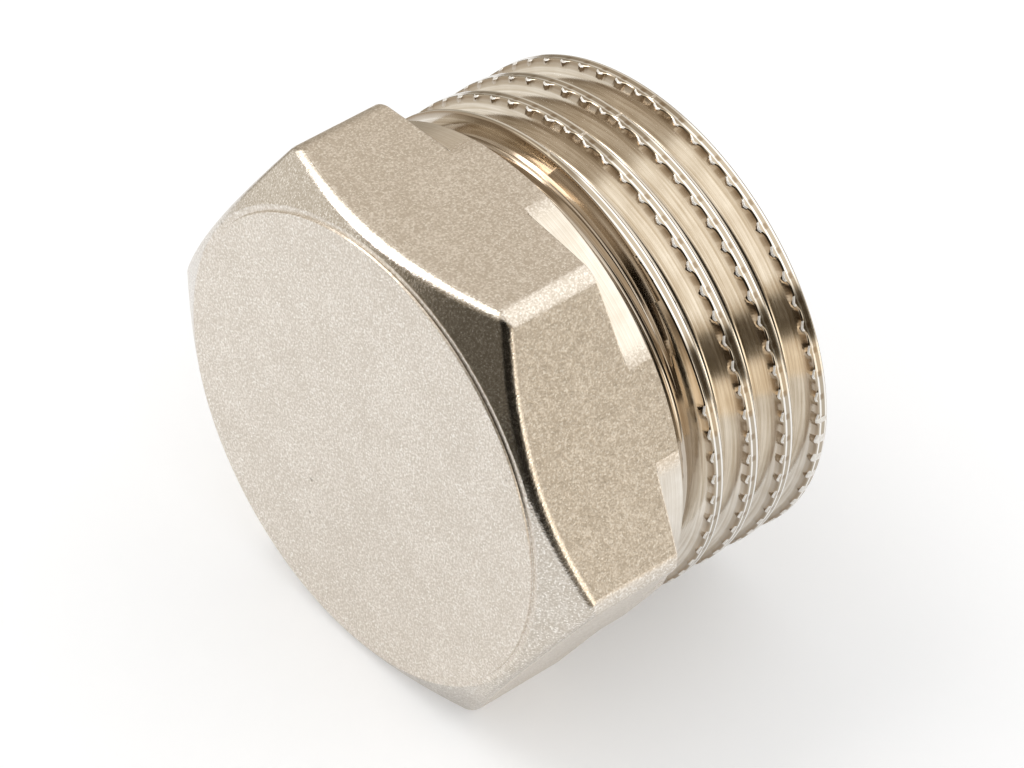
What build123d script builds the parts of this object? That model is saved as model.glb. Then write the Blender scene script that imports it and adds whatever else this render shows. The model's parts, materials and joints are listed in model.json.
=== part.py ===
"""Hexagon-headed pipe plug with a G 1/2 outside thread, forged and turned from one piece of brass.

The plug lies on one flat of its hexagon. Its axis is +X, from the head towards the free end of the
thread, and the origin is on that axis, in the plane of the shoulder that stops against a pipe's end.
Lengths are in millimetres and angles in degrees.
"""

import os
from math import ceil, cos, pi, radians, tan

from build123d import *

# G 1/2 thread: the diameter is within the standard's 20.671 to 20.955, and the crests are flattened
thread_diameter = 20.8
thread_pitch = 1.814
thread_angle = 55.0
crest_land = 0.46
root_flat = 0.24
thread_length = 7.8
end_chamfer = 0.4
groove_start_angle = 90.0

# Turned neck between the shoulder and the thread, and the steep cone of its far wall
neck_diameter = 19.0
neck_length = 0.95
neck_wall_angle = 70.0

# Forged hexagon head
hex_sides = 6
hex_across_flats = 21.0
hex_corner_radius = 0.9
head_height = 7.4
front_chamfer_angle = 31.5
forged_edge_radius = 0.6

# Round face that stands a little proud of the narrow land inside the front chamfer
face_diameter = 19.8
face_rise = 0.12
face_land = 0.25

# Round collar turned under the hexagon, a little wider than the flats, and the hexagon's back behind it
collar_diameter = 21.35
collar_length = 1.58
hex_back_angle = 9.0

# Bored hollow in the threaded end
hollow_diameter = 14.5
hollow_depth = 11.0

# Room that the groove's section keeps above the thread and in front of the shoulder
groove_overcut = 0.3
shoulder_clearance = 0.03

thread_radius = thread_diameter / 2
face_radius = face_diameter / 2
collar_radius = collar_diameter / 2

# The groove between two turns: a V whose flanks run from the crest lands down to a narrow flat
flank_slope = tan(radians(thread_angle / 2))
root_radius = thread_radius - (thread_pitch - crest_land - root_flat) / 2 / flank_slope
groove_top_radius = thread_radius + groove_overcut
groove_half_width = root_flat / 2 + (groove_top_radius - root_radius) * flank_slope

# It starts over the neck and winds on, turn after turn, until it has run out past the plug's end
groove_start = groove_half_width + shoulder_clearance
groove_turns = ceil((thread_length + groove_half_width - groove_start) / thread_pitch)

neck_radius = neck_diameter / 2
neck_wall_end = neck_length + (thread_radius - neck_radius) / tan(radians(neck_wall_angle))
front_land = face_rise - head_height
front_chamfer_radius = face_radius + face_land

# How wide the front chamfer's cone has become at the shoulder
front_cone_radius = front_chamfer_radius - front_land / tan(radians(front_chamfer_angle))

# The hexagon's back leans away from the collar, and its sharp corners would reach out to here
hex_reach = hex_across_flats / 2 / cos(pi / hex_sides)
hex_back_end = -collar_length - (hex_reach - collar_radius) * tan(radians(hex_back_angle))

with BuildPart() as groove_turn:
    # One turn of the thread's groove, as a tool that cuts it
    with BuildLine() as turn_path:
        Helix(
            pitch=thread_pitch,
            height=thread_pitch,
            radius=thread_radius,
            center=(groove_start, 0, 0),
            direction=(1, 0, 0),
        )
    with BuildSketch(Plane.XZ):
        with BuildLine():
            Polyline(
                (groove_start - groove_half_width, groove_top_radius),
                (groove_start - root_flat / 2, root_radius),
                (groove_start + root_flat / 2, root_radius),
                (groove_start + groove_half_width, groove_top_radius),
                close=True,
            )
        make_face()
    sweep(path=turn_path.line, is_frenet=True)

with BuildPart() as plug:
    # Hexagonal forging, from the shoulder to the head's face
    with BuildSketch(Plane.YZ) as hexagon:
        RegularPolygon(radius=hex_across_flats / 2, side_count=hex_sides, major_radius=False)
        fillet(hexagon.vertices(), hex_corner_radius)
    extrude(amount=-head_height)

    # The round face, the land round it and the front chamfer
    with BuildSketch(Plane.XY):
        with BuildLine():
            Polyline(
                (-head_height, 0),
                (-head_height, face_radius),
                (front_land, face_radius),
                (front_land, front_chamfer_radius),
                (0, front_cone_radius),
                (0, 0),
                close=True,
            )
        make_face()
    revolve(axis=Axis.X, mode=Mode.INTERSECT)

    # The hexagon's back and the collar, down to the shoulder
    with BuildSketch(Plane.XY):
        with BuildLine():
            Polyline(
                (-head_height, 0),
                (-head_height, hex_reach),
                (hex_back_end, hex_reach),
                (-collar_length, collar_radius),
                (0, collar_radius),
                (0, 0),
                close=True,
            )
        make_face()
    revolve(axis=Axis.X, mode=Mode.INTERSECT)

    # Forging leaves the edges between the front chamfer and the hexagon's sides rounded
    front_chamfer = plug.faces().filter_by(GeomType.CONE).sort_by(Axis.X)[0]
    side_edges = front_chamfer.edges().filter_by(GeomType.CIRCLE, reverse=True)
    fillet(side_edges.filter_by(GeomType.LINE, reverse=True), forged_edge_radius)

    # Turned shank: neck with its far wall, the thread's outside and the chamfered end
    with BuildSketch(Plane.XY):
        with BuildLine():
            Polyline(
                (0, 0),
                (0, neck_radius),
                (neck_length, neck_radius),
                (neck_wall_end, thread_radius),
                (thread_length - end_chamfer, thread_radius),
                (thread_length, thread_radius - end_chamfer),
                (thread_length, 0),
                close=True,
            )
        make_face()
    revolve(axis=Axis.X)

    # Bored hollow
    with BuildSketch(Plane.YZ.offset(thread_length)):
        Circle(hollow_diameter / 2)
    extrude(amount=-hollow_depth, mode=Mode.SUBTRACT)

    # Thread
    start_turn = (groove_start_angle, 0, 0)
    with Locations([Location((turn * thread_pitch, 0, 0), start_turn) for turn in range(groove_turns)]):
        add(groove_turn.part, mode=Mode.SUBTRACT)

os.makedirs("parts", exist_ok=True)
plug.part.label = "plug_body"
export_step(plug.part, "parts/plug_body.step")
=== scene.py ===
"""Looks of a nickel-plated pipe plug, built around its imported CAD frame.

The plug is one piece. It is shaped in millimetres, as the real one is made: a hexagonal forging with a
front chamfer and a turned collar, a turned shank with a helical thread and beaded crests, and a bored
hollow. The finished mesh is brought to metres and stands for the CAD node. Its axis is +X, from the head
to the free end of the thread, and the origin is in the plane of the shoulder.
"""

import json
import logging
from collections.abc import Callable, Iterable, Iterator, Sequence
from contextlib import contextmanager
from dataclasses import dataclass, field
from enum import Enum
from math import atan2, ceil, cos, hypot, pi, radians, sin, tan

import bmesh
import bpy
from mathutils import Matrix, Vector


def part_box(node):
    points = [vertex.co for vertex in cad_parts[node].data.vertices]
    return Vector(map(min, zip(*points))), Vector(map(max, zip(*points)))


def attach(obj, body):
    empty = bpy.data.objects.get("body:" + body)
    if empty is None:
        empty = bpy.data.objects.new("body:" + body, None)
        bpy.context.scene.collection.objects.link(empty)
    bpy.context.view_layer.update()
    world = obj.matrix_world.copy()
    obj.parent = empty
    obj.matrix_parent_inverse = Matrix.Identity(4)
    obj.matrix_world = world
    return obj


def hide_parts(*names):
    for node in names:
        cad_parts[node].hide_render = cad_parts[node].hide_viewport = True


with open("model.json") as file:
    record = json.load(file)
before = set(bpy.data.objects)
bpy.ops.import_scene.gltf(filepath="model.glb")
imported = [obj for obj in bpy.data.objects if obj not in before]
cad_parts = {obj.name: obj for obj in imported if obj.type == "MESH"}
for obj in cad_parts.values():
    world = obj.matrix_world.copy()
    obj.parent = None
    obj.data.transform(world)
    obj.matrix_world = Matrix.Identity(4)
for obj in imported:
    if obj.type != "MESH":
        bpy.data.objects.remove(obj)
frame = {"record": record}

log = logging.getLogger("pipe_plug")

Piece = bpy.types.Object
Point = tuple[float, float]
Colour = tuple[float, float, float]
Range = tuple[float, float]

NODE = "plug_body"
BODY = "root"
MM = 0.001
FULL_TURN = 2 * pi
SIDES = 6
HALF_SIDE = pi / SIDES


class Cut(Enum):
    """What a boolean tool does to the piece that it meets."""

    KEEP = "INTERSECT"
    JOIN = "UNION"
    REMOVE = "DIFFERENCE"


class Zone(Enum):
    """The plug's finishes, numbered as its material slots."""

    FORGED = 0
    CHAMFER = 1
    TURNED = 2
    BEADED = 3


class Pick(Enum):
    """What edit mode selects."""

    POINTS = "VERT"
    EDGES = "EDGE"
    FACES = "FACE"


class Bench:
    """Blender's modelling operators, applied to one piece at a time."""

    MERGE = 1e-4

    @staticmethod
    def take(piece: Piece) -> None:
        """Makes a piece the only one selected, and the active one."""
        bpy.ops.object.select_all(action="DESELECT")
        piece.select_set(True)
        bpy.context.view_layer.objects.active = piece

    @staticmethod
    @contextmanager
    def editing(piece: Piece, pick: Pick = Pick.POINTS) -> Iterator[bmesh.types.BMesh]:
        """Opens a piece in edit mode with nothing selected, and closes it again.

        Args:
            piece: The piece to open.
            pick: What is going to be selected.

        Returns:
            The open mesh, for choosing what the operators act on.
        """
        Bench.take(piece)
        bpy.ops.object.mode_set(mode="EDIT")
        bpy.ops.mesh.select_mode(type=pick.value)
        bpy.ops.mesh.select_all(action="DESELECT")
        yield bmesh.from_edit_mesh(piece.data)
        bpy.ops.object.mode_set(mode="OBJECT")

    @staticmethod
    def select(piece: Piece, chosen: Iterable) -> None:
        """Selects points, edges or faces of the piece that is open in edit mode.

        Args:
            piece: The open piece.
            chosen: Elements of its edit mesh.
        """
        for element in chosen:
            element.select_set(True)
        bmesh.update_edit_mesh(piece.data)

    @staticmethod
    def outline(name: str, points: Sequence[Point], close: bool) -> Piece:
        """Draws a section as a chain of edges, by extruding one point from place to place.

        Args:
            name: The new piece's name.
            points: Places along the axis, each with its distance from the axis.
            close: Whether the last point joins the first.

        Returns:
            The piece, drawn in the half plane above the axis.
        """
        bpy.ops.object.select_all(action="DESELECT")
        bpy.ops.mesh.primitive_plane_add(size=1)
        piece = bpy.context.object
        piece.name = name
        corners = [Vector((along, 0, out)) for along, out in points]
        with Bench.editing(piece) as mesh:
            bpy.ops.mesh.select_all(action="SELECT")
            bpy.ops.mesh.merge(type="CENTER")
            bpy.ops.transform.translate(value=corners[0])
            for start, end in zip(corners, corners[1:]):
                bpy.ops.mesh.extrude_vertices_move(TRANSFORM_OT_translate={"value": end - start})
            if close:
                mesh = bmesh.from_edit_mesh(piece.data)
                bpy.ops.mesh.select_all(action="DESELECT")
                Bench.select(piece, [point for point in mesh.verts if len(point.link_edges) == 1])
                bpy.ops.mesh.edge_face_add()
        return piece

    @staticmethod
    def lathe(name: str, points: Sequence[Point], steps: int) -> Piece:
        """Spins a section round the axis into a closed solid.

        Args:
            name: The new piece's name.
            points: The section, from the axis back to the axis.
            steps: How many facets go round.

        Returns:
            The solid.
        """
        piece = Bench.outline(name, points, close=False)
        with Bench.editing(piece):
            bpy.ops.mesh.select_all(action="SELECT")
            bpy.ops.mesh.spin(steps=steps, angle=FULL_TURN, center=(0, 0, 0), axis=(1, 0, 0))
            Bench.make_sound()
        return piece

    @staticmethod
    def make_sound() -> None:
        """Merges the doubles of the open mesh and points its faces outwards."""
        bpy.ops.mesh.select_all(action="SELECT")
        bpy.ops.mesh.remove_doubles(threshold=Bench.MERGE)
        bpy.ops.mesh.normals_make_consistent(inside=False)

    @staticmethod
    def apply(piece: Piece, kind: str, **settings: object) -> None:
        """Adds a modifier to a piece and applies it.

        Args:
            piece: The piece to change.
            kind: The modifier's type.
            **settings: The modifier's properties.
        """
        Bench.take(piece)
        modifier = piece.modifiers.new(kind.lower(), kind)
        for name, value in settings.items():
            setattr(modifier, name, value)
        bpy.ops.object.modifier_apply(modifier=modifier.name)

    @staticmethod
    def cut(piece: Piece, tool: Piece, how: Cut) -> None:
        """Cuts a piece with a tool, or joins the two, and throws the tool away.

        Args:
            piece: The piece that stays.
            tool: The solid that acts on it.
            how: Which part of the two is left.
        """
        Bench.apply(piece, "BOOLEAN", operation=how.value, solver="MANIFOLD", object=tool)
        bpy.data.meshes.remove(tool.data)

    @staticmethod
    def weigh(piece: Piece, test: Callable, weight: float) -> int:
        """Gives the edges that a test picks their share of a bevel's width.

        Args:
            piece: The piece to change.
            test: Says of an edge whether it is picked.
            weight: The share.

        Returns:
            How many edges were picked.
        """
        with Bench.editing(piece, Pick.EDGES) as mesh:
            chosen = [edge for edge in mesh.edges if test(edge)]
            Bench.select(piece, chosen)
            bpy.ops.transform.edge_bevelweight(value=weight)
        return len(chosen)

    @staticmethod
    def round_edges(piece: Piece, radius: float, turn: float, segments: int, test: Callable) -> int:
        """Rounds the edges that a test picks.

        Args:
            piece: The piece to change.
            radius: The radius of the rounding.
            turn: The angle between the two faces' normals, in radians.
            segments: How many facets the rounding has.
            test: Says of an edge whether it is rounded.

        Returns:
            How many edges were rounded.
        """
        with Bench.editing(piece, Pick.EDGES) as mesh:
            chosen = [edge for edge in mesh.edges if test(edge)]
            Bench.select(piece, chosen)
            bpy.ops.mesh.bevel(
                offset=radius * tan(turn / 2),
                offset_type="OFFSET",
                segments=segments,
                profile=0.5,
                affect="EDGES",
                clamp_overlap=False,
            )
        return len(chosen)


@dataclass
class HexHead:
    """The forged hexagon, with its round face and front chamfer, and the collar turned under it.

    Lengths are in millimetres and angles in degrees.
    """

    across_flats: float
    height: float
    corner_radius: float = 0.9
    face_radius: float = 9.9
    face_rise: float = 0.12
    face_edge: float = 0.05
    face_land: float = 0.25
    front_angle: float = 31.5
    forged_radius: float = 0.6
    forged_segments: int = 8
    collar_radius: float = 10.675
    collar_length: float = 1.58
    collar_edge_length: float = 0.40
    collar_edge_depth: float = 0.55
    back_angle: float = 9.0
    back_radius: float = 0.08
    back_segments: int = 2
    facets: int = 120
    spare: float = 1.0
    outside_share: float = 0.6
    side_lean: float = 0.01
    cone_lean: float = 0.05

    def build(self) -> Piece:
        """Returns the head as a closed solid."""
        head = self._prism()
        Bench.cut(head, self._envelope(), Cut.KEEP)
        with Bench.editing(head):
            bpy.ops.mesh.select_all(action="SELECT")
            bpy.ops.mesh.remove_doubles(threshold=self.face_edge / 10)
        corner = self.corner_radius * tan(HALF_SIDE)
        front = self.forged_radius * tan(radians(90 - self.front_angle) / 2)
        corners = Bench.weigh(head, self._is_corner_edge, 1.0)
        fronts = Bench.weigh(head, self._is_front_edge, front / corner)
        Bench.apply(
            head,
            "BEVEL",
            limit_method="WEIGHT",
            width=corner,
            segments=self.forged_segments,
            use_clamp_overlap=False,
        )
        backs = Bench.round_edges(
            head, self.back_radius, radians(90 - self.back_angle), self.back_segments, self._is_back_edge
        )
        log.info("head: %d corner, %d front and %d back edges rounded", corners, fronts, backs)
        return head

    def _prism(self) -> Piece:
        """Returns the hexagonal bar."""
        bpy.ops.object.select_all(action="DESELECT")
        bpy.ops.mesh.primitive_cylinder_add(
            vertices=SIDES,
            radius=self.across_flats / 2 / cos(HALF_SIDE),
            depth=self.height + 2 * self.spare,
            location=(-self.height / 2, 0, 0),
            rotation=(0, pi / 2, 0),
        )
        bar = bpy.context.object
        bar.name = "plug"
        bpy.ops.object.transform_apply(location=True, rotation=True, scale=True)
        return bar

    def _envelope(self) -> Piece:
        """Returns the solid of revolution that shapes the bar's two ends.

        Its edges are eased in short steps, which are shares of the face's edge.
        """
        front = -self.height
        edge = self.face_edge
        face = self.face_radius
        land = front + self.face_rise
        chamfer = face + self.face_land
        slope = tan(radians(self.front_angle))
        outside = self.across_flats * self.outside_share
        collar = self.collar_radius
        back = -self.collar_length
        back_slope = tan(radians(self.back_angle))
        rim = -self.collar_edge_length
        drop = self.collar_edge_depth / self.collar_edge_length
        section = [
            (front, 0),
            (front, face - edge),
            (front + 0.3 * edge, face - 0.3 * edge),
            (front + edge, face),
            (land - 0.4 * edge, face + 0.1 * edge),
            (land, face + 0.6 * edge),
            (land, chamfer - edge),
            (land + 0.3 * edge * slope, chamfer),
            (land + edge * slope, chamfer + edge),
            (land + (outside - chamfer) * slope, outside),
            (back - (outside - collar) * back_slope, outside),
            (back - edge * back_slope, collar + edge),
            (back + 0.3 * edge, collar + 0.3 * edge),
            (back + edge, collar),
            (rim - edge, collar),
            (rim, collar - 0.3 * edge),
            (rim + 0.7 * edge, collar - 0.9 * edge * drop),
            (-0.5 * edge, collar - self.collar_edge_depth + 0.5 * edge),
            (0, collar - self.collar_edge_depth - edge),
            (0, 0),
        ]
        return Bench.lathe("envelope", section, self.facets)

    def _is_side(self, face: bmesh.types.BMFace) -> bool:
        """Says whether a face is a flat or a rounded corner of the bar."""
        return abs(face.normal.x) < self.side_lean

    def _is_corner_edge(self, edge: bmesh.types.BMEdge) -> bool:
        """Says whether an edge is one of the bar's six long ones."""
        reach = self.across_flats / 2 / cos(HALF_SIDE) - self.face_edge
        return all(self._is_side(face) for face in edge.link_faces) and all(
            hypot(point.co.y, point.co.z) > reach for point in edge.verts
        )

    def _is_between(self, edge: bmesh.types.BMEdge, lean: float) -> bool:
        """Says whether an edge lies between the bar's sides and a cone.

        Args:
            edge: The edge.
            lean: How much of the cone's normal points along the axis.

        Returns:
            True between the two.
        """
        cone = any(abs(face.normal.x - lean) < self.cone_lean for face in edge.link_faces)
        return cone and any(self._is_side(face) for face in edge.link_faces)

    def _is_front_edge(self, edge: bmesh.types.BMEdge) -> bool:
        """Says whether an edge lies between the bar's sides and the front chamfer."""
        return self._is_between(edge, -cos(radians(self.front_angle)))

    def _is_back_edge(self, edge: bmesh.types.BMEdge) -> bool:
        """Says whether an edge lies between the bar's sides and the hexagon's back."""
        return self._is_between(edge, cos(radians(self.back_angle)))


@dataclass
class ThreadedShank:
    """The turned shank behind the shoulder, with its neck, thread and beaded crests.

    Lengths are in millimetres and angles in degrees. Angles round the axis run from +Y to +Z.
    """

    length: float
    radius: float
    pitch: float = 1.814
    flank_angle: float = 27.5
    crest_land: float = 0.42
    crest_radius: float = 0.12
    root_radius: float = 9.32
    root_round: float = 0.198
    root_steps: int = 3
    groove_start: float = 0.4145
    neck_radius: float = 9.5
    neck_length: float = 0.95
    neck_rise: float = 0.36
    neck_wall: float = 70.0
    end_chamfer: float = 0.4
    beads: int = 62
    bead_steps: int = 8
    bead_reach: float = 0.15
    bead_foot: float = 0.35
    bead_lead: float = 63.0
    bead_sharpness: int = 5
    over: float = 0.3

    def build(self) -> Piece:
        """Returns the threaded shank as a closed solid, which reaches a little into the head."""
        shank = self._blank()
        groove = self._groove()
        log.info("shank: thread groove of %d points", len(groove.data.vertices))
        Bench.cut(shank, groove, Cut.REMOVE)
        return shank

    @property
    def steps(self) -> int:
        """How many facets go round the shank."""
        return self.beads * self.bead_steps

    def _blank(self) -> Piece:
        """Returns the turned shank before the thread is cut.

        Its edges are eased in short steps, which are shares of the crest's radius.
        """
        wall_end = self.neck_length + (self.radius - self.neck_radius) / tan(radians(self.neck_wall))
        root, crest = self.neck_radius, self.radius
        edge = self.crest_radius
        section = [
            (-self.over, 0),
            (-self.over, root + self.neck_rise),
            (0, root + self.neck_rise),
            (self.neck_length - edge, root + 0.4 * edge),
            (self.neck_length - 0.5 * edge, root + 0.1 * edge),
            (self.neck_length, root + 0.15 * edge),
            (self.neck_length + 0.4 * edge, root + 0.8 * edge),
            (wall_end - 0.6 * edge, crest - 0.9 * edge),
            (wall_end - 0.1 * edge, crest - 0.25 * edge),
            (wall_end + 0.6 * edge, crest),
            (self.length - self.end_chamfer - 0.5 * edge, crest),
            (self.length - self.end_chamfer + 0.3 * edge, crest - 0.4 * edge),
            (self.length - 0.3 * edge, crest - self.end_chamfer + 0.4 * edge),
            (self.length, crest - self.end_chamfer - 0.3 * edge),
            (self.length, 0),
        ]
        blank = Bench.lathe("shank", section, self.steps)
        with Bench.editing(blank):
            bpy.ops.mesh.select_all(action="SELECT")
            bpy.ops.transform.rotate(value=pi / self.steps, orient_axis="X", center_override=(0, 0, 0))
        return blank

    def _groove_section(self) -> list[Point]:
        """Returns the groove's section about its middle: a V with a rounded root and eased lips.

        The lips are eased in short steps, which are shares of the crest's radius.
        """
        slope = tan(radians(self.flank_angle))
        half = (self.pitch - self.crest_land) / 2
        edge = self.crest_radius
        widest = radians(90 - self.flank_angle)
        bends = [widest * step / self.root_steps for step in range(-self.root_steps, self.root_steps + 1)]
        root = [
            (self.root_round * sin(bend), self.root_radius + self.root_round * (1 - cos(bend)))
            for bend in bends
        ]
        lip = [
            (half - self.bead_foot * slope, self.radius - self.bead_foot),
            (half - 0.5 * edge * slope, self.radius - 0.5 * edge),
            (half + 0.12 * edge, self.radius - 0.15 * edge),
            (half + 0.55 * edge, self.radius + 0.05 * edge),
            (half + 0.8 * edge, self.radius + self.over),
        ]
        return [(-along, out) for along, out in reversed(lip)] + root + lip

    def _groove(self) -> Piece:
        """Returns the solid that cuts the groove, wound from inside the head past the shank's end."""
        start = self.groove_start - self.pitch
        section = [(start + along, out) for along, out in self._groove_section()]
        groove = Bench.outline("groove", section, close=True)
        turns = ceil((self.length + self.pitch / 2 - start) / self.pitch)
        Bench.apply(
            groove,
            "SCREW",
            axis="X",
            angle=FULL_TURN,
            screw_offset=self.pitch,
            iterations=turns,
            steps=self.steps,
            render_steps=self.steps,
        )
        self._bead(groove)
        with Bench.editing(groove):
            bpy.ops.mesh.select_all(action="SELECT")
            bpy.ops.mesh.fill_holes(sides=0)
            Bench.make_sound()
        return groove

    def _bead(self, groove: Piece) -> None:
        """Draws the groove's far lip back in short waves, which leaves beads along the crest's edge.

        Args:
            groove: The wound groove, with a ring of points for each step.
        """
        lip = self.radius - 0.6 * self.crest_radius
        with Bench.editing(groove) as mesh:
            waves: dict[int, list[bmesh.types.BMVert]] = {step: [] for step in range(1, self.bead_steps)}
            for point in mesh.verts:
                step = self._bead_step(point.co)
                if step and hypot(point.co.y, point.co.z) > lip:
                    waves[step].append(point)
            for step, points in waves.items():
                reach = self.bead_reach * sin(pi * step / self.bead_steps) ** self.bead_sharpness
                bpy.ops.mesh.select_all(action="DESELECT")
                Bench.select(groove, points)
                bpy.ops.transform.translate(value=(-reach, 0, 0))

    def is_bead(self, place: Vector) -> bool:
        """Says whether a point lies on a bead of a crest's edge.

        Args:
            place: The point.

        Returns:
            True where the bead stands out.
        """
        half = (self.pitch - self.crest_land) / 2
        around = (atan2(place.z, place.y) - pi / 2) / FULL_TURN
        wound = place.x - self.groove_start - around * self.pitch
        into = (wound + self.pitch / 2) % self.pitch - self.pitch / 2
        proud = self.bead_steps / 4 < self._bead_step(place) < self.bead_steps * 3 / 4
        high = self.radius - self.bead_foot / 2 < hypot(place.y, place.z) < self.radius - Bench.MERGE
        at_lip = half - self.bead_reach - self.crest_radius < into < half + self.crest_radius
        return proud and high and at_lip

    def _bead_step(self, place: Vector) -> int:
        """Says how far through a bead a point of the groove is.

        Args:
            place: The point.

        Returns:
            The step within the bead, or 0 on the near side of the groove and before the first bead.
        """
        around = (atan2(place.z, place.y) - pi / 2) % FULL_TURN
        step = round(around / FULL_TURN * self.steps) % self.steps
        turns = (place.x - self.groove_start) / self.pitch - step / self.steps
        near_side = turns < round(turns)
        before = round(turns) < 0 or round(turns) == 0 and step < self.bead_lead / 360 * self.steps
        return 0 if near_side or before else step % self.bead_steps


@dataclass
class PipePlug:
    """The whole plug: head and shank joined, and bored from the threaded end.

    Lengths are in millimetres.
    """

    head: HexHead
    shank: ThreadedShank
    hollow_radius: float = 7.25
    hollow_depth: float = 11.0
    hollow_facets: int = 160
    mouth_chamfer: float = 0.2
    smooth_angle: float = 32.0
    flat_area: float = 5.0
    flat_turn: float = 0.002
    chamfer_lean: Range = (-0.95, -0.1)
    back_lean: float = 0.5

    def build(self) -> Piece:
        """Returns the plug as one closed mesh in metres."""
        plug = self.head.build()
        Bench.cut(plug, self.shank.build(), Cut.JOIN)
        Bench.cut(plug, self._hollow(), Cut.REMOVE)
        with Bench.editing(plug):
            bpy.ops.mesh.select_all(action="SELECT")
            bpy.ops.mesh.dissolve_degenerate(threshold=Bench.MERGE)
        Bench.take(plug)
        bpy.ops.object.shade_smooth_by_angle(angle=radians(self.smooth_angle))
        with Bench.editing(plug, Pick.FACES) as mesh:
            Bench.select(plug, [face for face in mesh.faces if face.calc_area() > self.flat_area])
            bpy.ops.mesh.faces_shade_flat()
        Bench.apply(plug, "WEIGHTED_NORMAL", mode="FACE_AREA", weight=100, keep_sharp=True)
        Bench.take(plug)
        bpy.ops.transform.resize(value=(MM, MM, MM), center_override=(0, 0, 0))
        bpy.ops.object.transform_apply(location=True, rotation=True, scale=True)
        return plug

    def _hollow(self) -> Piece:
        """Returns the bored space, with an eased mouth and bottom."""
        end = self.shank.length
        bottom = end - self.hollow_depth
        ease = self.mouth_chamfer
        section = [
            (bottom, 0),
            (bottom, self.hollow_radius - ease),
            (bottom + 0.3 * ease, self.hollow_radius - 0.3 * ease),
            (bottom + ease, self.hollow_radius),
            (end - ease, self.hollow_radius),
            (end + ease, self.hollow_radius + 2 * ease),
            (end + ease, 0),
        ]
        return Bench.lathe("hollow", section, self.hollow_facets)

    def dress(self, plug: Piece, finishes: dict[Zone, bpy.types.Material]) -> None:
        """Gives the faces of each zone their finish, and keeps the rims of the turned ones sharp.

        Args:
            plug: The finished mesh.
            finishes: The material for each zone.
        """
        plug.data.materials.clear()
        for zone in Zone:
            plug.data.materials.append(finishes[zone])
        tests = {Zone.CHAMFER: self._is_chamfer, Zone.TURNED: self._is_turned, Zone.BEADED: self._is_bead}
        for zone, test in tests.items():
            with Bench.editing(plug, Pick.FACES) as mesh:
                chosen = [face for face in mesh.faces if test(face)]
                Bench.select(plug, chosen)
                plug.active_material_index = zone.value
                bpy.ops.object.material_slot_assign()
                if zone is Zone.TURNED:
                    bpy.ops.mesh.region_to_loop()
                    bpy.ops.mesh.mark_sharp()
            log.info("%s: %d faces", zone.name.lower(), len(chosen))

    def _is_chamfer(self, face: bmesh.types.BMFace) -> bool:
        """Says whether a face belongs to the front chamfer or its rounded edges."""
        place = face.calc_center_median() / MM
        steepest, flattest = self.chamfer_lean
        leans = place.x < -self.head.height / 2 and steepest < face.normal.x < flattest
        return leans and hypot(place.y, place.z) > self.head.face_radius

    def _is_bead(self, face: bmesh.types.BMFace) -> bool:
        """Says whether a face lies on a bead of the thread's crest."""
        return self.shank.is_bead(face.calc_center_median() / MM)

    def _is_turned(self, face: bmesh.types.BMFace) -> bool:
        """Says whether a face was turned after the forging."""
        place = face.calc_center_median() / MM
        inside = hypot(place.y, place.z) < self.hollow_radius + self.mouth_chamfer
        bored = inside and place.x > -self.head.height + self.head.spare
        behind = place.x > -self.head.collar_length - self.head.back_radius
        around = atan2(face.normal.z, face.normal.y) / (2 * HALF_SIDE) - 0.5
        on_flat = abs(face.normal.x) < self.head.side_lean and abs(around - round(around)) < self.flat_turn
        leans_back = face.normal.x > self.back_lean and place.x > -self.head.height / 2
        return bored or leans_back or (behind and not on_flat)


class Signal:
    """One output of a node graph. Arithmetic on it adds Math nodes."""

    CORE = 0.45

    def __init__(self, graph: "Graph", socket: bpy.types.NodeSocket) -> None:
        """Wraps a socket of a graph."""
        self.graph = graph
        self.socket = socket

    def math(self, operation: str, *values: "Signal | float") -> "Signal":
        """Returns the result of a Math node on these values."""
        return self.graph.node("ShaderNodeMath", {"operation": operation}, dict(enumerate(values)))

    def __add__(self, other: "Signal | float") -> "Signal":
        """Returns the sum."""
        return self.math("ADD", self, other)

    def __radd__(self, other: float) -> "Signal":
        """Returns the sum with a number on the left."""
        return self.math("ADD", other, self)

    def __sub__(self, other: "Signal | float") -> "Signal":
        """Returns the difference."""
        return self.math("SUBTRACT", self, other)

    def __rsub__(self, other: float) -> "Signal":
        """Returns the difference from a number on the left."""
        return self.math("SUBTRACT", other, self)

    def __mul__(self, other: "Signal | float") -> "Signal":
        """Returns the product."""
        return self.math("MULTIPLY", self, other)

    def __rmul__(self, other: float) -> "Signal":
        """Returns the product with a number on the left."""
        return self.math("MULTIPLY", other, self)

    def __pow__(self, other: "Signal | float") -> "Signal":
        """Returns the power."""
        return self.math("POWER", self, other)

    def __or__(self, other: "Signal") -> "Signal":
        """Returns the larger of two."""
        return self.math("MAXIMUM", self, other)

    def fraction(self) -> "Signal":
        """Returns the part after the decimal point."""
        return self.math("FRACT", self)

    def near(self, middle: float, reach: float) -> "Signal":
        """Returns 1 round a middle value, falling to 0 a reach away from it."""
        return self.math("ABSOLUTE", self - middle).ramp(self.CORE * reach, reach, 1.0, 0.0)

    def ramp(self, low: float, high: float, start: float = 0.0, end: float = 1.0) -> "Signal":
        """Returns a smooth step from start to end as this value goes from low to high."""
        return self.graph.node(
            "ShaderNodeMapRange",
            {"interpolation_type": "SMOOTHSTEP"},
            {"Value": self, "From Min": low, "From Max": high, "To Min": start, "To Max": end},
        )


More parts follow.
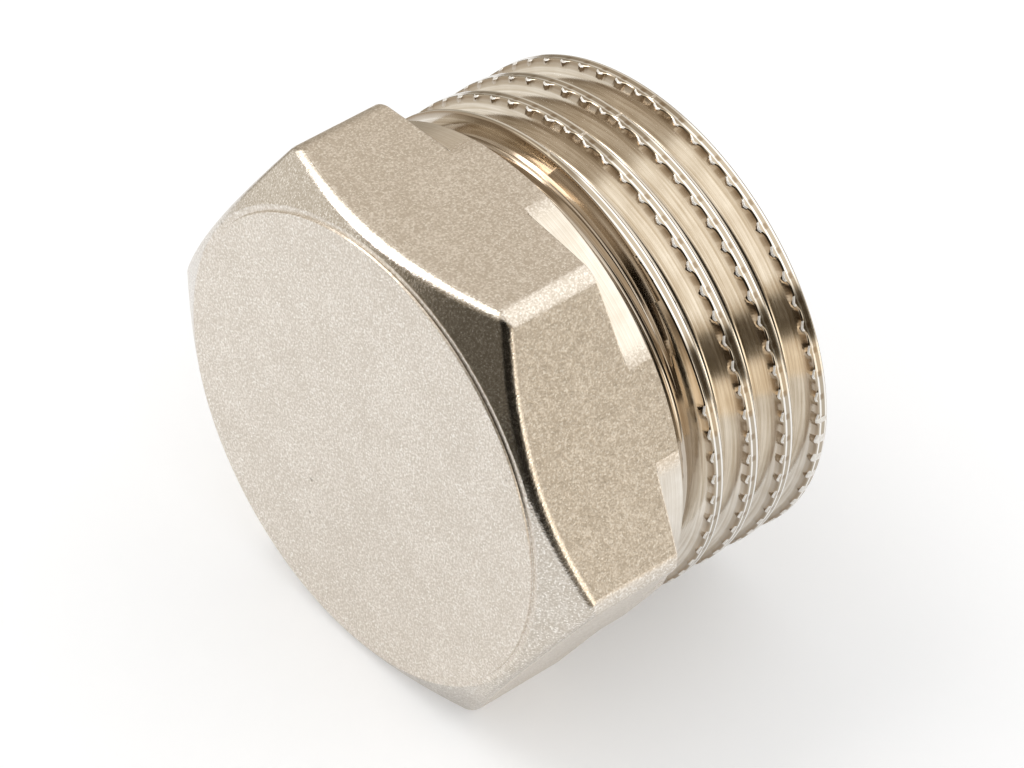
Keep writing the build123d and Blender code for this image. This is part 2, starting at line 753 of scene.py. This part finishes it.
class Graph:
    """A material's or the world's node tree, emptied and ready to be wired."""

    def __init__(self, owner: bpy.types.Material | bpy.types.World) -> None:
        """Clears an owner's node tree."""
        owner.use_nodes = True
        self.tree = owner.node_tree
        self.tree.nodes.clear()

    def node(
        self,
        kind: str,
        settings: dict[str, object] | None = None,
        values: dict[str | int, object] | None = None,
        output: str | int = 0,
    ) -> Signal:
        """Adds a node.

        Args:
            kind: The node's type.
            settings: Its properties, set first.
            values: What its inputs hold, by name or number: a Signal is linked, anything else is set.
            output: The output to return.

        Returns:
            That output.
        """
        node = self.tree.nodes.new(kind)
        for name, value in (settings or {}).items():
            setattr(node, name, value)
        for name, value in (values or {}).items():
            if isinstance(value, Signal):
                self.tree.links.new(value.socket, node.inputs[name])
            else:
                node.inputs[name].default_value = value
        return Signal(self, node.outputs[output]) if node.outputs else Signal(self, None)

    def mix(self, share: Signal | float, first: object, second: object) -> Signal:
        """Returns a colour between two colours."""
        return self.node("ShaderNodeMix", {"data_type": "RGBA"}, {0: share, 6: first, 7: second}, output=2)

    def place(self) -> Signal:
        """Returns the point on the piece, in millimetres."""
        metres = self.node("ShaderNodeTexCoord", output="Object")
        return self.node("ShaderNodeVectorMath", {"operation": "SCALE"}, {0: metres, "Scale": 1 / MM})

    def split(self, place: Signal) -> tuple[Signal, ...]:
        """Returns a point's distances along X, Y and Z."""
        kind = "ShaderNodeSeparateXYZ"
        return tuple(self.node(kind, None, {"Vector": place}, output=axis) for axis in "XYZ")

    def noise(self, place: Signal, size: float, detail: float = 2.0) -> Signal:
        """Returns noise whose spots are about this many millimetres across."""
        return self.node(
            "ShaderNodeTexNoise", None, {"Vector": place, "Scale": 1 / size, "Detail": detail}
        )

    def noise_along(self, value: Signal, size: float, detail: float = 2.0) -> Signal:
        """Returns noise along one value, with this many millimetres to a line."""
        return self.node(
            "ShaderNodeTexNoise",
            {"noise_dimensions": "1D"},
            {"W": value, "Scale": 1 / size, "Detail": detail},
        )

    def seen(self) -> Signal:
        """Returns 1 for rays that see a surface, also in metal or glass, and 0 for those that light it."""
        path = "ShaderNodeLightPath"
        camera = self.node(path, output="Is Camera Ray")
        glossy = self.node(path, output="Is Glossy Ray")
        return camera | glossy | self.node(path, output="Is Transmission Ray")


def rgba(colour: Colour) -> tuple[float, float, float, float]:
    """Returns a colour with full alpha."""
    return (*colour, 1.0)


@dataclass(frozen=True)
class ForgedNickel:
    """Nickel over a shot-blasted forging: matt, with fine grain, glints and a few pits.

    Lengths are in millimetres.
    """

    name: str = "forged_nickel"
    dark: Colour = (0.62, 0.555, 0.475)
    light: Colour = (0.90, 0.845, 0.775)
    glint: Colour = (0.98, 0.95, 0.90)
    pit: Colour = (0.22, 0.17, 0.12)
    roughness: float = 0.34
    rough_spread: float = 0.12
    grain: float = 0.095
    mottle: float = 1.6
    relief: float = 0.009
    tone_range: Range = (0.38, 0.74)
    glint_range: Range = (0.62, 0.74)
    glint_share: float = 0.7
    pit_share: float = 0.6
    pit_spacing: float = 2.4
    pit_radius: float = 0.12

    def material(self) -> bpy.types.Material:
        """Returns the finish as a material."""
        material = bpy.data.materials.new(self.name)
        graph = Graph(material)
        place = graph.place()
        grain = graph.noise(place, self.grain, 1.0)
        coarse = graph.noise(place, 2.5 * self.grain, 1.0)
        mottle = graph.noise(place, self.mottle, 3.0)
        tone = (grain * 0.7 + coarse * 0.15 + mottle * 0.15).ramp(*self.tone_range)
        glint = graph.noise(place, 0.8 * self.grain, 0.0).ramp(*self.glint_range)
        spots = graph.node(
            "ShaderNodeTexVoronoi",
            None,
            {"Vector": place, "Scale": 1 / self.pit_spacing, "Randomness": 1.0},
        )
        rim = self.pit_radius / self.pit_spacing
        pits = spots.ramp(0.4 * rim, rim, 1.0, 0.0)
        base = graph.mix(tone, rgba(self.dark), rgba(self.light))
        base = graph.mix(glint * self.glint_share, base, rgba(self.glint))
        colour = graph.mix(pits * self.pit_share, base, rgba(self.pit))
        bump = graph.node(
            "ShaderNodeBump",
            None,
            {"Strength": 1.0, "Distance": self.relief * MM, "Height": grain + coarse * 0.4 - pits * 2.0},
        )
        shader = graph.node(
            "ShaderNodeBsdfPrincipled",
            None,
            {
                "Base Color": colour,
                "Metallic": 1.0,
                "Roughness": self.roughness + (coarse - 0.5) * self.rough_spread,
                "Normal": bump,
            },
        )
        graph.node("ShaderNodeOutputMaterial", None, {"Surface": shader})
        return material


@dataclass(frozen=True)
class TurnedNickel:
    """Bright nickel over the turned surfaces: fine lines round them, painted brown shade in the recesses,
    and crests with painted highlight rims and painted shade spots.

    It follows the head's flats and the shank's thread. Lengths are in millimetres.
    """

    head: HexHead
    shank: ThreadedShank
    dark: Colour = (0.64, 0.57, 0.475)
    light: Colour = (0.88, 0.835, 0.765)
    # painted shade: the brown that darkens the neck, the thread's flanks, and spots and a line on the
    # crests
    painted_shade: Colour = (0.29, 0.215, 0.14)
    land: Colour = (0.46, 0.395, 0.31)
    # painted highlight: the bright rims along each crest's two edges
    rim: Colour = (0.93, 0.91, 0.87)
    roughness: float = 0.12
    line_rough: float = 0.12
    haze_rough: float = 0.08
    neck_polish: float = 0.04
    line: float = 0.05
    line_range: Range = (0.36, 0.64)
    haze: float = 1.1
    relief: float = 0.0012
    rim_place: float = 0.13
    rim_width: float = 0.055
    flank_depths: Range = (0.42, 0.06)
    crest_depths: Range = (0.05, 0.02)
    # shares of the painted shade on the flanks, the neck, the beads' spots and the line past the rim
    flank_shade: float = 0.85
    neck_shade: float = 0.5
    spot_shade: float = 0.8
    edge_shade: float = 0.3

    def material(self) -> bpy.types.Material:
        """Returns the finish as a material."""
        material = bpy.data.materials.new("turned_nickel")
        graph = Graph(material)
        place = graph.place()
        along, side, height = graph.split(place)
        out = (side * side + height * height) ** 0.5
        lines = self._lines(graph, along, out)
        haze = graph.noise(place, self.haze, 3.0)
        tone = (lines * 0.8 + haze * 0.2).ramp(*self.line_range)
        bright = graph.mix(tone, rgba(self.dark), rgba(self.light))
        # the crests, painted with highlight rims and shade spots
        crest, thread = self._crest(graph, along, side, height, out)
        # painted brown shade in the neck and up the thread's flanks
        colour = graph.mix(self._recess_shade(along, out), bright, rgba(self.painted_shade))
        colour = graph.mix(thread, colour, crest)
        run_out = self._run_out(along, side, height)
        grain = graph.noise(place, ForgedNickel.grain, 1.0)
        sandy = graph.mix(
            grain.ramp(*ForgedNickel.tone_range), rgba(ForgedNickel.dark), rgba(ForgedNickel.light)
        )
        colour = graph.mix(run_out, colour, sandy)
        relief = lines + run_out * grain * (ForgedNickel.relief / self.relief)
        bump = graph.node(
            "ShaderNodeBump", None, {"Strength": 0.5, "Distance": self.relief * MM, "Height": relief}
        )
        rough = self.roughness + (lines - 0.5) * self.line_rough + (haze - 0.5) * self.haze_rough
        rough = rough - self._neck(along, out) * self.neck_polish
        shader = graph.node(
            "ShaderNodeBsdfPrincipled",
            None,
            {
                "Base Color": colour,
                "Metallic": 1.0,
                "Roughness": rough + run_out * (ForgedNickel.roughness - self.roughness),
                "Normal": bump,
            },
        )
        graph.node("ShaderNodeOutputMaterial", None, {"Surface": shader})
        return material

    def _lines(self, graph: Graph, along: Signal, out: Signal) -> Signal:
        """Returns the tool's lines, fine and broad, round the faces and the barrels alike.

        Args:
            graph: The material's graph.
            along: The distance along the axis.
            out: The distance from the axis.

        Returns:
            The lines' height, from 0 to 1.
        """
        both = []
        for size, detail in ((self.line, 2.0), (3 * self.line, 1.0)):
            on_face = graph.noise_along(out, size, detail)
            on_barrel = graph.noise_along(along, size, detail)
            both.append(on_face * 0.6 + on_barrel * 0.4)
        fine, broad = both
        return fine * 0.5 + broad * 0.5

    def _recess_shade(self, along: Signal, out: Signal) -> Signal:
        """Returns the share of painted brown shade, in the neck and up the thread's flanks.

        Args:
            along: The distance along the axis.
            out: The distance from the axis.

        Returns:
            The share of painted shade.
        """
        foot, lip = (self.shank.radius - depth for depth in self.flank_depths)
        flank = out.ramp(foot, lip) * self._past_neck(along)
        return (flank * self.flank_shade) | (self._neck(along, out) * self.neck_shade)

    def _past_neck(self, along: Signal) -> Signal:
        """Returns 1 on the thread and 0 on the neck, by the distance along the axis."""
        return along.ramp(self.shank.neck_length, 1.2 * self.shank.neck_length)

    def _neck(self, along: Signal, out: Signal) -> Signal:
        """Returns 1 on the neck and 0 elsewhere, by the distances along and from the axis."""
        length = self.shank.neck_length
        outside = out.ramp(0.9 * self.shank.root_radius, 0.95 * self.shank.root_radius)
        return along.ramp(-0.1, 0.1) * along.ramp(length, 1.3 * length, 1.0, 0.0) * outside

    def _crest(
        self, graph: Graph, along: Signal, side: Signal, height: Signal, out: Signal
    ) -> tuple[Signal, Signal]:
        """Colours the crests: two painted highlight rims, a duller land between them, a painted shade spot
        in each bead and a painted shade line past one rim.

        Args:
            graph: The material's graph.
            along: The distance along the axis.
            side: The distance along Y.
            height: The distance along Z.
            out: The distance from the axis.

        Returns:
            The crests' colour, and where it lies.
        """
        shank = self.shank
        around = side.math("ARCTAN2", height, side) * (1 / FULL_TURN) - 0.25
        turn = (along - shank.groove_start) * (1 / shank.pitch) - around
        off = (turn.fraction() - 0.5) * shank.pitch
        beat = ((around * shank.beads).fraction() - 0.5) * (FULL_TURN * shank.radius / shank.beads)
        # painted highlights: bright lines along both edges of each crest
        rim_highlights = off.near(self.rim_place, self.rim_width) | off.near(-self.rim_place, self.rim_width)
        first = shank.groove_start + (0.5 + shank.bead_lead / 360) * shank.pitch
        # painted shade: a brown spot in each bead
        spot = off.near(-0.3 * self.rim_place, 0.9 * self.rim_place) * beat.near(0.0, 1.3 * self.rim_place)
        spot = spot * along.ramp(first - self.rim_width, first)
        # painted shade: a thin line just past the rim towards the thread's end
        under = off.near(1.75 * self.rim_place, 0.7 * self.rim_width)
        colour = graph.mix(rim_highlights, rgba(self.land), rgba(self.rim))
        shade_share = (spot * self.spot_shade) | (under * self.edge_shade)
        colour = graph.mix(shade_share, colour, rgba(self.painted_shade))
        before_end = along.ramp(shank.length - shank.end_chamfer, shank.length, 1.0, 0.0)
        low, high = (shank.radius - depth for depth in self.crest_depths)
        return colour, out.ramp(low, high) * self._past_neck(along) * before_end

    def _run_out(self, along: Signal, side: Signal, height: Signal) -> Signal:
        """Returns how far the collar has run out into the forged flats.

        Args:
            along: The distance along the axis.
            side: The distance along Y.
            height: The distance along Z.

        Returns:
            1 at a flat and in front of the collar's rim, and 0 away from it.
        """
        flat = self.head.across_flats / 2
        reach = height.math("ABSOLUTE", height)
        for turn in (HALF_SIDE, -HALF_SIDE):
            across = side * cos(turn) + height * sin(turn)
            reach = reach | across.math("ABSOLUTE", across)
        before_rim = along.ramp(-self.head.collar_edge_length, 0.0, 1.0, 0.0)
        return reach.ramp(0.98 * flat, flat) * before_rim


@dataclass(frozen=True)
class PressedNickel:
    """Nickel over the rough beads of the crests, which scatter the light."""

    dark: Colour = (0.80, 0.76, 0.70)
    light: Colour = (0.94, 0.92, 0.88)
    metallic: float = 0.5
    roughness: float = 0.5
    grain: float = 0.12
    grain_range: Range = (0.3, 0.7)

    def material(self) -> bpy.types.Material:
        """Returns the finish as a material."""
        material = bpy.data.materials.new("pressed_nickel")
        graph = Graph(material)
        tone = graph.noise(graph.place(), self.grain).ramp(*self.grain_range)
        colour = graph.mix(tone, rgba(self.dark), rgba(self.light))
        shader = graph.node(
            "ShaderNodeBsdfPrincipled",
            None,
            {"Base Color": colour, "Metallic": self.metallic, "Roughness": self.roughness},
        )
        graph.node("ShaderNodeOutputMaterial", None, {"Surface": shader})
        return material


@dataclass(frozen=True)
class PaperFloor:
    """A white sheet that stays white to the camera and keeps the plug's shadow."""

    colour: Colour = (0.8, 0.8, 0.8)
    lift: float = 0.26

    def material(self) -> bpy.types.Material:
        """Returns the finish as a material."""
        material = bpy.data.materials.new("paper_floor")
        material.cycles.emission_sampling = "NONE"
        graph = Graph(material)
        sheet = graph.node("ShaderNodeBsdfDiffuse", None, {"Color": rgba(self.colour)})
        glow = graph.node(
            "ShaderNodeEmission", None, {"Color": rgba((1, 1, 1)), "Strength": graph.seen() * self.lift}
        )
        both = graph.node("ShaderNodeAddShader", None, {0: sheet, 1: glow})
        graph.node("ShaderNodeOutputMaterial", None, {"Surface": both})
        return material


@dataclass(frozen=True)
class Aim:
    """A place round the plug, by compass angle from +X towards +Y, height angle and distance."""

    azimuth: float
    height: float
    distance: float

    def place(self) -> Vector:
        """Returns the place in metres."""
        level = cos(radians(self.height))
        around = radians(self.azimuth)
        return self.distance * Vector((level * cos(around), level * sin(around), sin(radians(self.height))))

    def turn(self) -> tuple[float, float, float]:
        """Returns the rotation that faces the plug from there."""
        return tuple(self.place().to_track_quat("Z", "Y").to_euler())


@dataclass(frozen=True)
class Lamp:
    """A soft square lamp."""

    name: str
    aim: Aim
    side: float
    radiance: float
    colour: Colour

    def build(self) -> None:
        """Adds the lamp, facing the plug."""
        bpy.ops.object.light_add(type="AREA", location=self.aim.place(), rotation=self.aim.turn())
        lamp = bpy.context.object
        lamp.name = self.name
        lamp.data.shape = "SQUARE"
        lamp.data.size = self.side
        lamp.data.energy = self.radiance * pi * self.side**2
        lamp.data.color = self.colour
        lamp.visible_camera = False


@dataclass(frozen=True)
class Patch:
    """A soft patch of brightness or shade in the room round the plug, with angles in degrees."""

    azimuth: float
    height: float
    full: float
    fade: float
    colour: Colour

    def direction(self) -> Vector:
        """Returns the way to the middle of the patch."""
        return Aim(self.azimuth, self.height, 1.0).place()


@dataclass(frozen=True)
class Room:
    """The room as the metal's reflections see it: an even tone with soft patches laid over each other."""

    tone: Colour
    patches: tuple[Patch, ...]
    radius: float = 1.5
    segments: int = 64
    rings: int = 32

    def build(self) -> None:
        """Adds the room as a sphere that only reflections see."""
        bpy.ops.object.select_all(action="DESELECT")
        bpy.ops.mesh.primitive_uv_sphere_add(
            radius=self.radius, segments=self.segments, ring_count=self.rings
        )
        room = bpy.context.object
        room.name = "room"
        room.data.materials.append(self._material())
        for ray in ("camera", "diffuse", "transmission", "volume_scatter", "shadow"):
            setattr(room, f"visible_{ray}", False)

    def _material(self) -> bpy.types.Material:
        """Returns the room's tones as a material."""
        material = bpy.data.materials.new("room_tones")
        material.cycles.emission_sampling = "NONE"
        graph = Graph(material)
        way = graph.node("ShaderNodeVectorMath", {"operation": "NORMALIZE"}, {0: graph.place()})
        colour = rgba(self.tone)
        for patch in self.patches:
            nearness = graph.node(
                "ShaderNodeVectorMath",
                {"operation": "DOT_PRODUCT"},
                {0: way, 1: patch.direction()},
                output="Value",
            )
            share = nearness.ramp(cos(radians(patch.fade)), cos(radians(patch.full)))
            colour = graph.mix(share, colour, rgba(patch.colour))
        glow = graph.node("ShaderNodeEmission", None, {"Color": colour, "Strength": 1.0})
        graph.node("ShaderNodeOutputMaterial", None, {"Surface": glow})
        return material


@dataclass
class Studio:
    """The white sheet, room, lamp and camera round the plug."""

    floor_height: float
    floor_side: float = 0.094
    daylight: float = 0.84
    eye: Vector = field(default_factory=lambda: Vector((-0.104057, -0.105629, 0.138761)))
    gaze: Vector = field(default_factory=lambda: Vector((0.51238, 0.51752, -0.68530)))
    upright: Vector = field(default_factory=lambda: Vector((0.41855, 0.54632, 0.72550)))
    lens: float = 183.8
    sensor: float = 36.0
    nearest: float = 0.01
    lamps: tuple[Lamp, ...] = (
        Lamp("key_lamp", Aim(118, 54, 0.6), 0.28, 3.2, (1.0, 0.99, 0.97)),
    )
    room: Room = Room(
        tone=(0.42, 0.37, 0.30),
        patches=(
            Patch(0, 90, 20, 38, (1.05, 1.00, 0.93)),
            Patch(45, 34, 15, 42, (0.68, 0.61, 0.52)),
            Patch(118, 0, 15, 40, (0.94, 0.90, 0.83)),
            Patch(112, 52, 18, 30, (1.70, 1.65, 1.55)),
            Patch(132, 36, 7, 11, (6.5, 6.5, 6.8)),
            Patch(-62, -6, 22, 36, (1.20, 1.08, 0.91)),
            Patch(-84, 4, 11, 17, (2.0, 1.84, 1.58)),
            Patch(-33, -2, 11, 17, (2.0, 1.84, 1.58)),
            Patch(-5, 56, 16, 23, (1.35, 1.32, 1.26)),
            Patch(-35, 42, 24, 27, (1.45, 1.42, 1.36)),
            Patch(-57, 8, 9, 12.5, (0.10, 0.08, 0.055)),
            Patch(222, 24, 31, 47, (0.02, 0.017, 0.013)),
            Patch(200, -6, 14, 26, (0.05, 0.045, 0.035)),
            Patch(181, 14, 12, 28, (0.145, 0.13, 0.105)),
        ),
    )

    def build(self) -> None:
        """Adds the whole studio."""
        self._floor()
        self._sky()
        self.room.build()
        for lamp in self.lamps:
            lamp.build()
        self._camera()

    def _floor(self) -> None:
        """Adds the white sheet under the plug."""
        bpy.ops.object.select_all(action="DESELECT")
        bpy.ops.mesh.primitive_plane_add(size=self.floor_side, location=(0, 0, self.floor_height))
        floor = bpy.context.object
        floor.name = "floor"
        floor.data.materials.append(PaperFloor().material())

    def _sky(self) -> None:
        """Adds even light from all round, white where it is seen."""
        world = bpy.data.worlds.new("even_light")
        bpy.context.scene.world = world
        world.cycles.sampling_method = "NONE"
        graph = Graph(world)
        strength = self.daylight + graph.seen() * (1 - self.daylight)
        light = graph.node("ShaderNodeBackground", None, {"Color": rgba((1, 1, 1)), "Strength": strength})
        graph.node("ShaderNodeOutputWorld", None, {"Surface": light})

    def _camera(self) -> None:
        """Adds the camera at the photograph's viewing angle."""
        right = self.gaze.cross(self.upright).normalized()
        upright = right.cross(self.gaze).normalized()
        turn = Matrix((right, upright, -self.gaze.normalized())).transposed()
        bpy.ops.object.camera_add(location=self.eye, rotation=turn.to_euler())
        camera = bpy.context.object
        camera.data.lens = self.lens
        camera.data.sensor_fit = "HORIZONTAL"
        camera.data.sensor_width = self.sensor
        camera.data.clip_start = self.nearest
        scene = bpy.context.scene
        scene.camera = camera
        scene.view_settings.view_transform = "Standard"


def main() -> None:
    """Builds the plug to the sizes of the CAD node's box and the thread mount, and its studio."""
    logging.basicConfig(level=logging.INFO, format="%(name)s: %(message)s")
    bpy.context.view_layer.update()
    low, high = (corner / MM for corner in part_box(NODE))
    mounts = {mount["name"]: mount for mount in frame["record"]["mounts"]}
    plug = PipePlug(
        head=HexHead(across_flats=high.z - low.z, height=-low.x),
        shank=ThreadedShank(length=high.x, radius=mounts["thread"]["dims"]["r_mm"]),
    )
    piece = plug.build()
    finishes = {
        Zone.FORGED: ForgedNickel(),
        # the chamfer takes the forged finish painted darker: painted shade on the cone
        Zone.CHAMFER: ForgedNickel(
            name="chamfer_nickel",
            dark=(0.53, 0.475, 0.405),
            light=(0.77, 0.725, 0.665),
            roughness=0.2,
            relief=0.006,
        ),
        Zone.TURNED: TurnedNickel(plug.head, plug.shank),
        Zone.BEADED: PressedNickel(),
    }
    plug.dress(piece, {zone: finish.material() for zone, finish in finishes.items()})
    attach(piece, BODY)
    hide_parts(NODE)
    log.info("%s: %d faces", piece.name, len(piece.data.polygons))
    Studio(floor_height=low.z * MM).build()
    log.info("studio: floor, room, lamp and camera")


if __name__ == "__main__":
    main()
